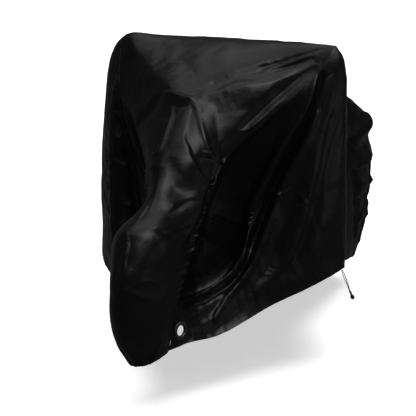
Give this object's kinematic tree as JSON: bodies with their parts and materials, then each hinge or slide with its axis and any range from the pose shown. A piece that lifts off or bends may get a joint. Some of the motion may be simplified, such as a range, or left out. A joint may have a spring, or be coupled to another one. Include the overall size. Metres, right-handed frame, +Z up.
{
  "type": "bicycle cover",
  "caption": "Fitted black cloth cover draped over a parked bicycle, with a gathered nose hem, lock eyelets near the front wheel and a hanging cord tie.",
  "frame": {"origin": "just under the cloth at the middle of its top, where the handlebar holds it up", "axes": "+Z up, -Y towards the nose over the front wheel, +X to the rider's left"},
  "size_m": [0.8923, 1.8321, 0.9234],
  "materials": {
    "cloth": "coated polyester taffeta, satin",
    "plastic": "moulded, satin",
    "cord": "braided cord"
  },
  "bodies": {
    "root": {"centre_panel": "cloth", "left_side_panel": "cloth", "right_side_panel": "cloth", "left_lock_corner": "cloth", "right_lock_corner": "cloth", "left_sewn_patch": "cloth", "left_lock_eyelet": "plastic", "right_lock_eyelet": "plastic", "tie_cord_front": "cord", "tie_cord_back": "cord", "tie_stopper": "plastic"}
  },
  "joints": []
}
